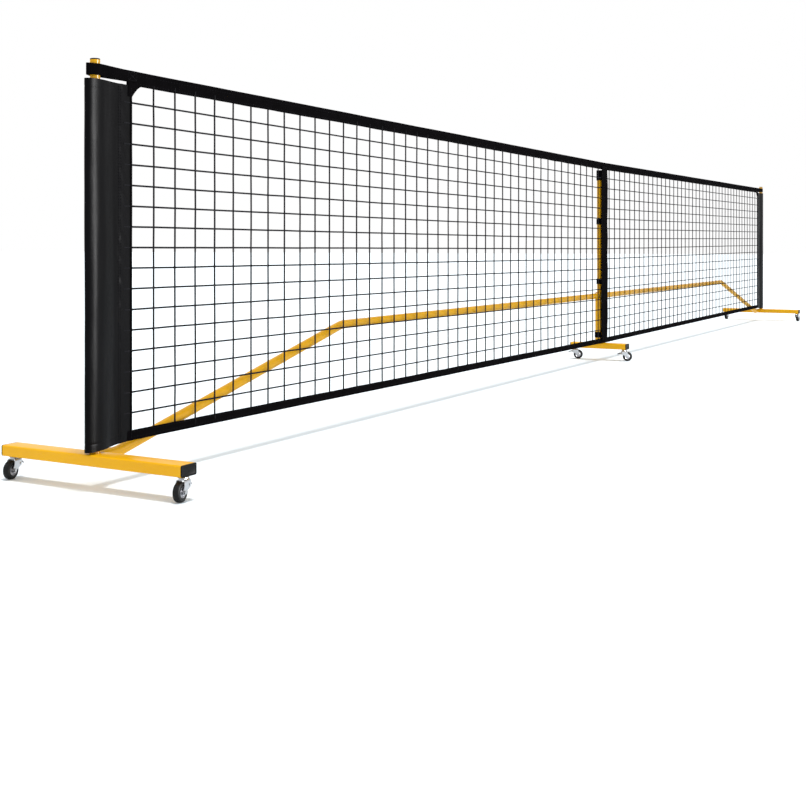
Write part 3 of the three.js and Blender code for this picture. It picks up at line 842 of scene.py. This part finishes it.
def fork_sheet():
    """The fork as one stamped strip, down one side of the wheel and up the other."""
    shoulder = 5
    middle_z = YOKE_TOP - PLATE / 2
    middle_y = FORK_OUTSIDE - PLATE / 2
    foot = AXLE_HEIGHT - LUG + 0.1
    heights = [foot + 0.4, foot + 1.2, foot + 2.4, foot + 4, foot + 5.4]
    heights += [foot + 5.6 + 1.6 * i for i in range(12)]
    heights = [z for z in heights if z < middle_z - shoulder]
    down = [(middle_y, z) for z in [foot, *heights]]
    down += arc((middle_y - shoulder, middle_z - shoulder), shoulder, 0, 90, 6)
    across = down + [(0, middle_z)] + [(-y, z) for y, z in reversed(down)]
    grid = []
    for y, z in across:
        back, front = cheek_back(z), cheek_front(z)
        grid.append([Vector((back + (front - back) * i / 8, y, z)) for i in range(9)])
    return sheet_shell(grid, PLATE)


def hexagon_head(size, height, start):
    """A hexagon nut or bolt head along Z, with chamfered corners."""
    rings = []
    for scale, z in [(0.9, 0), (1, 0.3), (1, height - 0.5), (0.86, height)]:
        turns = [math.pi / 3 * i for i in range(6)]
        radius = size / math.sqrt(3) * scale
        rings.append([
            Vector((radius * math.cos(a), radius * math.sin(a), start + z)) for a in turns
        ])
    return loft(rings)


def caster_fork():
    """Fork, swivel race, kingpin and stem, axle bolt with its nut, and the pedal's rivet."""
    lower_race = turned([
        (4, YOKE_TOP - 0.4), (9.6, YOKE_TOP - 0.4), (10.2, YOKE_TOP + 0.4), (10, YOKE_TOP + 1.4),
        (8.4, YOKE_TOP + 2.6), (6.6, YOKE_TOP + 3.2), (4, YOKE_TOP + 3.4),
    ])
    stem = turned([(4, YOKE_TOP), (4, FOOT_UNDERSIDE + 12), (3.2, FOOT_UNDERSIDE + 14)], 32)
    rivet = turned([(1.4, 41.9), (3.2, 42.3), (4.2, 43.2), (4.4, 44.6)], 32)
    axle = shifted(along_y(turned([(2.5, -12.4), (2.5, 12.4)], 24)), TRAIL, 0, AXLE_HEIGHT)
    washer = [(3.0, 0), (4.6, 0), (4.6, 0.8), (3.0, 0.8)]
    near_end = [turned(washer, 24, wrap=True), hexagon_head(7, 2.4, 0.8)]
    far_end = [*near_end, turned([(2.3, 3.0), (2.3, 3.6), (1.9, 4.0)], 16)]
    fasteners = []
    for end, shapes in [(1, near_end), (-1, far_end)]:
        for shape in shapes:
            turn = Matrix.Rotation(-end * math.pi / 2, 4, "X")
            place = Matrix.Translation((TRAIL, end * FORK_OUTSIDE, AXLE_HEIGHT)) @ turn
            fasteners.append(moved(shape, place))
    pin_profile = [
        (2.2, -12.3), (2.6, -11.9), (2.6, -11.1), (1.5, -11.0), (1.5, 11.0), (2.6, 11.1),
        (2.6, 11.9), (2.2, 12.3),
    ]
    pin = shifted(along_y(turned(pin_profile, 24)), PIVOT_X, 0, PIVOT_Z)
    return [fork_sheet(), lower_race, stem, rivet, axle, pin, *fasteners]


def upper_race():
    """The fixed cup under the foot that the fork turns in."""
    return turned([
        (5, 51.7), (5, 50.4), (9.8, 50.2), (11.3, 49.4), (11.7, 48.2), (12.4, 48.2),
        (12.1, 49.8), (11.2, 51.1), (10, 51.7),
    ], wrap=True)


def hub():
    half = 8
    profile = [
        (2.8, -half), (5.2, -half), (5.6, -half + 0.4), (5.8, -5.8), (9.8, -5.4), (10.4, -6.9),
        (11.5, -7.2), (11.9, -6.6),
    ]
    mirrored = [(radius, -z) for radius, z in reversed(profile)]
    return along_y(turned(profile + mirrored, 48, wrap=True))


def tyre():
    """A solid tyre with round shoulders and a shallow step at the rim."""
    radius = AXLE_HEIGHT
    profile = [
        (12.0, -6.6), (12.3, -7.3), (16.6, -7.9), (18.6, -7.4), (19.8, -6.4), (radius - 0.25, -5.0),
        (radius, -3.2), (radius, 0),
    ]
    mirrored = [(r, -z) for r, z in reversed(profile[:-1])]
    return along_y(turned(profile + mirrored, 72, wrap=True))


def pedal_plate():
    """The brake lever from the toe over its pin to the turned-down tip, with rolled edges."""
    stations = [
        (2.4, -0.6, 6.4), (1.2, 1.4, 7.2), (-1.5, 3.0, 7.8), (-5, 3.7, 8), (-9, 3.6, 8),
        (-13, 2.7, 7.6), (-17, 1.3, 6.6), (-20, 0.1, 5.2), (-21.6, -0.9, 3.6),
    ]
    grid = []
    for x, z, half_width in stations:
        row = []
        for i in range(13):
            share = -1 + i / 6
            drop = 3.4 * max(0, abs(share) - 0.7) / 0.3
            row.append(Vector((PIVOT_X + x, share * half_width, PIVOT_Z + z - drop)))
        grid.append(row)
    return sheet_shell(grid, 1.4)


def pedal_ridge(x, z, half_width):
    """A raised grip bar across the pedal."""
    rings = [
        [Vector((PIVOT_X + x + 0.8 * math.cos(a), y, PIVOT_Z + z + 0.7 * math.sin(a) * fade))
         for a in [2 * math.pi * i / 8 for i in range(8)]]
        for y, fade in [(-half_width, 0.3), (1 - half_width, 1), (half_width - 1, 1), (half_width, 0.3)]
    ]
    return loft(rings)


def caster_brake():
    barrel = pipe(3, -7.6, 7.6, wall=1.2, sides=24)
    barrel = shifted(along_y(barrel), PIVOT_X, 0, PIVOT_Z)
    ridges = [(-8, 4.6, 6), (-11.5, 3.9, 5.8), (-15, 2.8, 5.2)]
    return [pedal_plate(), barrel, *[pedal_ridge(*ridge) for ridge in ridges]]


def add_caster(name):
    """All of one caster, drawn with its stem on the Z axis and its wheel towards +X."""
    joints = frame["record"]["behaviour"]["joints"]
    swivel = next(joint for joint in joints if joint["name"] == f"{name}_swivel")
    stem = Vector(swivel["pos_m"]) / MM
    wheel = middle(f"{name}_caster_wheel")
    heading = math.atan2(wheel.y - stem.y, wheel.x - stem.x)
    upright = Matrix.Translation((stem.x, stem.y, 0))
    place = upright @ Matrix.Rotation(heading, 4, "Z")
    at_axle = place @ Matrix.Translation((TRAIL, 0, AXLE_HEIGHT))
    add_piece(f"{name}_fork_set", caster_fork(), "chrome_steel", f"{name}_fork", place,
              stands_for=[f"{name}_caster_fork"])
    add_piece(f"{name}_upper_race", [upper_race()], "chrome_steel", "frame", upright)
    add_piece(f"{name}_tyre", [tyre()], "black_rubber", f"{name}_wheel", at_axle,
              stands_for=[f"{name}_caster_wheel"])
    add_piece(f"{name}_hub", [hub()], "zinc_steel", f"{name}_wheel", at_axle)
    add_piece(f"{name}_pedal", caster_brake(), "zinc_steel", f"{name}_brake", place,
              stands_for=[f"{name}_caster_brake"])


# ---------------------------------------------------------------- net

CORD_RADIUS = 2.1
COLUMNS = 84
ROWS = 17
HIDDEN_EDGE = 7  # mesh under each band


def net_point(column, row):
    """Where two cords cross: even spacing, with the small unevenness of a knotted net."""
    x = -BAND_END + 2 * BAND_END * column / COLUMNS
    roof = band_top(x) - BAND_HEIGHT + HIDDEN_EDGE
    base = hem_bottom(x) + HEM_HEIGHT - HIDDEN_EDGE
    z = roof + (base - roof) * row / ROWS
    where = Vector((x * 0.013, row * 1.7, 4.2))
    loose = min(1, 4 * min(row, ROWS - row) / ROWS)
    jitter = Vector((noise.noise(where), noise.noise(where + Vector((0, 0, 9))), 0))
    y = 0.9 * uneven(x * 0.002, z * 0.004, 7.7)
    return Vector((x + 1.1 * jitter.x, y, z + 0.8 * loose * jitter.y))


def knot(centre, turn):
    """A small flattened lump where two cords are joined."""
    rings = []
    for height, radius in [(-2.5, 1.5), (-1.5, 2.6), (0, 3.0), (1.5, 2.6), (2.5, 1.5)]:
        ring = []
        for i in range(6):
            a = math.pi / 3 * i + turn
            ring.append(centre + Vector((radius * math.cos(a), height, radius * math.sin(a))))
        rings.append(ring)
    return loft(rings)


def add_cord_mesh():
    shapes = []
    into_band = Vector((0, 0, 5))
    for column in range(COLUMNS + 1):
        path = [net_point(column, row) for row in range(ROWS + 1)]
        path = [path[0] + into_band, *path, path[-1] - into_band]
        shapes.append(swept(path, CORD_RADIUS, 6))
    into_sleeve = Vector((26, 0, 0))
    for row in range(1, ROWS):
        path = [net_point(column, row) for column in range(COLUMNS + 1)]
        path = [path[0] - into_sleeve, *path, path[-1] + into_sleeve]
        shapes.append(swept(path, CORD_RADIUS, 6))
        for column in range(1, COLUMNS):
            shapes.append(knot(path[column + 1], 0.7 * column + 1.3 * row))
    add_piece("net_cord_mesh", shapes, "net_cord", sharp=70,
              stands_for=["net_mesh_left", "net_mesh_right"])


def tape_sway(x, upwards):
    """How far a folded tape stands off the net's plane."""
    return 1.1 * uneven(x * 0.0035, 3.3, upwards)


def folded_tape(height, core, edge_at, upwards):
    """Cloth folded over a cord along the net's edge. edge_at gives the height of the fold;
    upwards is +1 where the tape reaches up from it."""
    section = [(-1.25, height), (-1.3, 0.8 * height), (-1.35, 0.6 * height), (-1.45, 0.42 * height)]
    section += [(-0.8 * core, 2.1 * core)]
    section += [(y, z) for y, z in arc((0, core), core, 180, 360, 8)]
    section += [(0.8 * core, 2.1 * core)]
    section += [(-y, z) for y, z in section[3::-1]]
    steps = 170
    grid = []
    for i in range(steps + 1):
        x = -BAND_END - 14 + (2 * BAND_END + 28) * i / steps
        fold = edge_at(x) + 0.4 * uneven(x * 0.006, 1.5, upwards)
        sway = tape_sway(x, upwards)
        row = []
        for y, depth in section:
            slack = depth / height
            ripple = 0.7 * slack * uneven(x * 0.016, 5.1, depth * 0.01)
            droop = 0.9 * slack * uneven(x * 0.012, 8.8, upwards)
            row.append(Vector((x, y + sway + ripple, fold + upwards * (depth + droop))))
        grid.append(row)
    return sheet_shell(grid, 1.1)


def tape_stitches(edge_at, upwards, depths):
    rows = []
    for depth in depths:
        for face in (-1, 1):
            for end in (-1, 1):
                start = Vector((0, face * 2.0, edge_at(0) + upwards * depth))
                x = end * (BAND_END - 4)
                finish = Vector((x, face * 2.0, edge_at(x) + upwards * depth))
                rows += stitch_row(start, finish, Vector((0, face, 0)), 10,
                                   lambda place: tape_sway(place, upwards))
    return rows


def add_bands():
    tape = folded_tape(BAND_HEIGHT, 2.6, band_top, -1)
    top = add_piece("top_band_tape", [tape], "black_webbing", stands_for=["net_top_band"])
    tape = folded_tape(HEM_HEIGHT, 2.2, hem_bottom, 1)
    hem = add_piece("bottom_band_tape", [tape], "black_webbing", stands_for=["net_bottom_band"])
    add_piece("top_band_stitching", tape_stitches(band_top, -1, (9, 27)), "net_cord")
    add_piece("bottom_band_stitching", tape_stitches(hem_bottom, 1, (7, 18.5)), "net_cord")


def pucker(x, z, face):
    """Creases that fan out from where the mesh pulls at the seam."""
    spacing = 48
    phase = z + 11 * face
    nearest = round(phase / spacing)
    dz = phase - nearest * spacing
    strength = 0.55 + 0.45 * uneven(nearest * 3.7, face, 2.2)
    reach = math.exp(-((x - 84) / 17) ** 2) * math.exp(-(dz / 12) ** 2)
    slant = uneven(nearest * 1.9, 6.1, face)
    return 2.0 * strength * reach * math.sin(0.16 * dz + (0.25 + 0.3 * slant) * (x - 84) + 0.9)


def sleeve_path():
    """The middle of the sleeve's cloth seen from above: it stands round off the post,
    sinks to the seam and lies flat from there to its edge."""
    gap = 0.9
    rise = SLEEVE_BULGE - gap
    half = straight(Vector((POCKET_EDGE, gap)), Vector((POCKET_SEAM, gap)), 8)
    for i in range(18):
        share = i / 18
        swell = rise * (1 - math.cos(math.pi * share)) / 2
        half.append(Vector((POCKET_SEAM * (1 - share), gap + swell)))
    for i in range(22):
        turn = 0.5 * math.pi * i / 22
        half.append(Vector((-SLEEVE_FOLD * math.sin(turn), SLEEVE_BULGE * math.cos(turn))))
    other = [Vector((point.x, -point.y)) for point in reversed(half)]
    return [*half, Vector((-SLEEVE_FOLD, 0)), *other]


def sleeve_wrinkle(x, z, face):
    """How far the sleeve's cloth stands out from its path, by place and face."""
    soft = 1.3 * uneven(x * 0.028, z * 0.0035, 3 * face)
    small = 0.45 * uneven(x * 0.07, z * 0.012, 5 * face + 1)
    on_post = math.exp(-(x / 16) ** 2)
    groove = -0.9 * math.exp(-((x - POCKET_SEAM) / 2.2) ** 2)
    ends = min(z - HEM_AT_POST, SLEEVE_TOP - z)
    hem_line = -0.5 * math.exp(-((ends - 17) / 1.5) ** 2)
    flat_hem = 0.35 if x > POCKET_SEAM else 1
    loose = flat_hem * (1 - 0.75 * on_post)
    return loose * (soft + small) + groove + hem_line + pucker(x, z, face)


def sleeve_slant(x, z):
    """The sleeve is cut longer at its fold: how far a point hangs below a level cut."""
    share = (POCKET_EDGE - x) / (POCKET_EDGE + SLEEVE_FOLD)
    return 8 * share * (SLEEVE_TOP - z) / (SLEEVE_TOP - HEM_AT_POST)


def sleeve_heights():
    """Rows up the sleeve, closer together at the hems."""
    fine = [0, 1.5, 5, 10, 14, 15.5, 17, 18.5, 20, 24]
    rows = [HEM_AT_POST + step for step in fine]
    start, end = HEM_AT_POST + fine[-1], SLEEVE_TOP - fine[-1]
    count = 110
    rows += [start + (end - start) * i / count for i in range(1, count)]
    rows += [SLEEVE_TOP - step for step in reversed(fine)]
    return rows


def add_sleeve(name, side):
    path = sleeve_path()
    grid = []
    for z in sleeve_heights():
        row = []
        for i, point in enumerate(path):
            before, after = path[max(i - 1, 0)], path[min(i + 1, len(path) - 1)]
            way = (after - before).normalized()
            out = Vector((way.y, -way.x))
            face = 1 if point.y > 0 else -1
            lift = sleeve_wrinkle(point.x, z, face) * min(1, abs(point.y) / 0.5)
            outwards = 1 if out.y * face > 0 else -1
            spot = point + out * (outwards * lift)
            limit = 0.75 if point.x > POCKET_SEAM - 12 else 0.0
            if limit and abs(spot.y) < limit:
                spot.y = face * limit
            row.append(at_post(side, spot.x, spot.y, z - sleeve_slant(spot.x, z)))
        grid.append(row)
    piece = add_piece(f"{name}_sleeve_cloth", [sheet_shell(grid, 1.1)], "coated_fabric", sharp=60,
                      stands_for=[f"{name}_sleeve"])


def add_sleeve_binding(name, side):
    """A folded tape over the sleeve's edge."""
    section = [(POCKET_EDGE - 5, 2.3), (POCKET_EDGE - 2, 2.3), (POCKET_EDGE + 0.6, 1.8)]
    section += [(POCKET_EDGE + 1.6, 0)]
    section += [(x, -y) for x, y in reversed(section[:-1])]
    rows = [HEM_AT_POST + (SLEEVE_TOP - HEM_AT_POST) * i / 60 for i in range(61)]
    grid = [
        [at_post(side, x + 0.5 * uneven(z * 0.02, x * 0.01, side), y, z)
         for x, y in section]
        for z in rows
    ]
    piece = add_piece(f"{name}_sleeve_binding", [sheet_shell(grid, 0.9)], "black_webbing")


def add_sleeve_stitching(name, side):
    stitches = []
    for x in (POCKET_SEAM + 3, POCKET_SEAM + 9, POCKET_EDGE - 3):
        for face in (-1, 1):
            y = face * (2.9 if x > POCKET_EDGE - 10 else 2.3)
            ends = [at_post(side, x, y, z) for z in (HEM_AT_POST + 4, SLEEVE_TOP - 4)]
            stitches += stitch_row(*ends, Vector((0, face, 0)), 6.5)
    add_piece(f"{name}_sleeve_stitching", stitches, "net_cord")


def add_strap(name, side):
    """Webbing that goes round the post's top and is sewn to both faces of the top band."""
    path = strap_path()
    rows = 8
    grid = []
    for i in range(rows + 1):
        z = STRAP_BOTTOM + (BAND_TOP_AT_POST - STRAP_BOTTOM) * i / rows
        row = []
        for point in path:
            face = 1 if point.y > 0 else -1
            drop = (BAND_TOP_AT_POST - band_top(HALF_NET - max(point.x, 0))) * min(1, point.x / 60)
            drop = drop if point.x > 0 else 0
            sway = 0.5 * uneven(point.x * 0.04, z * 0.05, face)
            row.append(at_post(side, point.x, point.y + face * max(0, sway), z - drop))
        grid.append(row)
    piece = add_piece(f"{name}_strap_webbing", [sheet_shell(grid, 1.5)], "black_webbing",
                      stands_for=[f"{name}_tension_strap"])
    stitches = []
    for face in (-1, 1):
        out = Vector((0, face, 0))
        y = face * 3.8
        corners = [
            at_post(side, x, y, z) for x, z in
            [(104, STRAP_BOTTOM + 3), (131, STRAP_BOTTOM + 3), (131, BAND_TOP_AT_POST - 4),
             (104, BAND_TOP_AT_POST - 4)]
        ]
        box_and_cross = [(0, 1), (1, 2), (2, 3), (3, 0), (0, 2), (1, 3)]
        for start, end in box_and_cross:
            stitches += stitch_row(corners[start], corners[end], out, 5)
    add_piece(f"{name}_strap_stitching", stitches, "net_cord")


def add_corner_patch(name, side):
    """Cloth on both faces of the mesh that fills the corner under the top band, with a
    hollow curve between the sleeve's edge and the band."""
    start, reach, drop = 104, 35, 21
    roof = BAND_TOP_AT_POST - 27
    shapes = []
    for face in (-1, 1):
        grid = []
        for i in range(15):
            x = start + (POCKET_EDGE + reach - start) * i / 14
            share = max(0, (x - POCKET_EDGE) / reach)
            fall = (drop + 5) * (1 - share) ** 1.7 + 4 if x > POCKET_EDGE else drop + 9
            base = band_top(HALF_NET - x) - 28 - fall
            top = roof if x > POCKET_EDGE else STRAP_BOTTOM + 2
            y = face * (2.4 + 0.3 * math.sin(0.4 * i))
            grid.append([at_post(side, x, y, base + (top - base) * j / 8) for j in range(9)])
        shapes.append(sheet_shell(grid, 0.9))
    piece = add_piece(f"{name}_corner_patch", shapes, "black_webbing")


def add_centre_strap():
    """Webbing down the middle: its left edge is pulled back by the ties and its right
    edge curls a little forwards."""
    bottom, top = low("centre_strap").z, high("centre_strap").z
    half = high("centre_strap").x
    steps, across = 90, 12
    grid = []
    for i in range(steps + 1):
        z = bottom + (top - bottom) * i / steps
        inside = min(1, 8 * min(i, steps - i) / steps)
        row = []
        for j in range(across + 1):
            share = -1 + 2 * j / across
            edge = (3 + 8 * max(0, share)) * uneven(z * 0.009, 2.0, 1.0)
            x = share * half + edge * inside - 8 * inside * max(0, -share) ** 2
            curl = 2.2 * inside * max(0, share) ** 2 * (1 + 0.6 * uneven(z * 0.008, 0, 5))
            wave = 0.8 * inside * uneven(z * 0.013, share, 9)
            row.append(Vector((x, -4.3 - curl + min(0, wave), z)))
        grid.append(row)
    piece = add_piece("centre_strap_webbing", [sheet_shell(grid, 1.8)], "black_webbing",
                      stands_for=["centre_strap"])
    stitches = []
    for z in (bottom + 5, bottom + 16, top - 16, top - 5):
        ends = [Vector((x, -5.2, z)) for x in (4 - half, half - 4)]
        stitches += stitch_row(*ends, Vector((0, -1, 0)), 5.5)
    add_piece("centre_strap_stitching", stitches, "net_cord")


def tie_path(node):
    """Once round the post and back over itself, seen from above."""
    right = high(node).x - 0.8
    back = high(node).y - 0.8
    front = low(node).y + 0.9
    wide = right > POST_RADIUS + 6
    corner = 5 if wide else right
    path = [Vector((-right + 4, front)), Vector((0, front)), Vector((right - 1.5, front))]
    path += [Vector((right, front + 3)), Vector((right, back - corner - 4))]
    path += [Vector(p) for p in arc((right - corner, back - corner), corner, 0, 90, 8)]
    path += [Vector(p) for p in arc((corner - right, back - corner), corner, 90, 180, 8)]
    path += [Vector((-right, back - corner - 6)), Vector((-right, front + 4))]
    return path


def add_tie(which):
    """A hook-and-loop tie: loop side out, its end lapped over itself on the left."""
    node = f"centre_{which}_tie"
    bottom, top = low(node).z, high(node).z
    path = tie_path(node)
    lap = [Vector((point.x - 1.5, point.y)) for point in path[-9:]]
    rows = 6
    grids = []
    for route, ease in ((path, 0), (lap, 1.2)):
        grid = []
        for i in range(rows + 1):
            z = bottom + ease + (top - bottom - 2 * ease) * i / rows
            grid.append([
                Vector((p.x, p.y, z + 0.4 * uneven(p.x * 0.1, p.y * 0.1, i)))
                for p in route
            ])
        grids.append(sheet_shell(grid, 1.2))
    piece = add_piece(f"{node}_tape", grids, "black_webbing", stands_for=[node])


# ---------------------------------------------------------------- assembly

add_camera()
add_light()
add_floor()

for end_name, end_side in (("left", -1), ("right", 1)):
    add_end_foot(end_name, end_side)
    add_end_post(end_name, end_side)
    add_leg(end_name, end_side)
    add_bar(end_name, "outer", "bar")
    add_bar(end_name, "inner", "centre")
    add_sleeve(end_name, end_side)
    add_sleeve_binding(end_name, end_side)
    add_sleeve_stitching(end_name, end_side)
    add_strap(end_name, end_side)
    add_corner_patch(end_name, end_side)

add_centre_foot()
add_centre_post()
add_buttons()
for foot_name in ("left", "right", "centre"):
    add_foot_caps(foot_name)
    for place_name in ("front", "rear"):
        add_caster(f"{foot_name}_{place_name}")

add_cord_mesh()
add_bands()
add_centre_strap()
for tie_name in ("top", "upper", "lower"):
    add_tie(tie_name)
add_tie("bottom")
